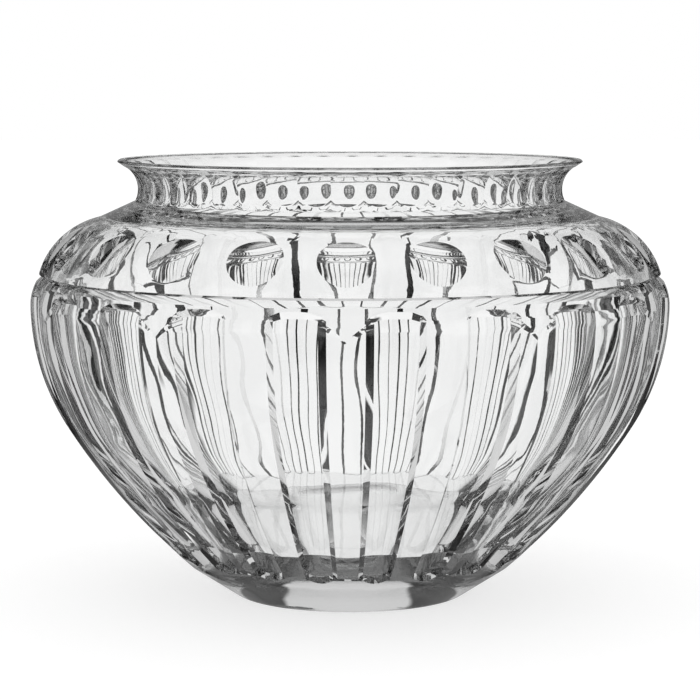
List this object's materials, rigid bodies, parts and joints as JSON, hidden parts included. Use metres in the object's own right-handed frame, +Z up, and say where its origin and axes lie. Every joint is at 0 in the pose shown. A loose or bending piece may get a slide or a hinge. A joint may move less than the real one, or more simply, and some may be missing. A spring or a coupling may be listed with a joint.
{
  "type": "cut crystal vase",
  "caption": "Wide round-bodied clear crystal vase with a fluted neck, thumb prints round the shoulder and tall cut flutes down the wall; holds cut flowers in water.",
  "frame": {"origin": "middle of the ring of the foot that the vase rests on, on the vase's own axis", "axes": "+Z up along the vase's axis; -Y towards the middle of one ridged pillar, which is the front; +X to the right seen from the front"},
  "size_m": [0.2491, 0.25, 0.1708],
  "materials": {
    "crystal": "polished"
  },
  "bodies": {
    "root": {"vase": "crystal"}
  },
  "joints": []
}
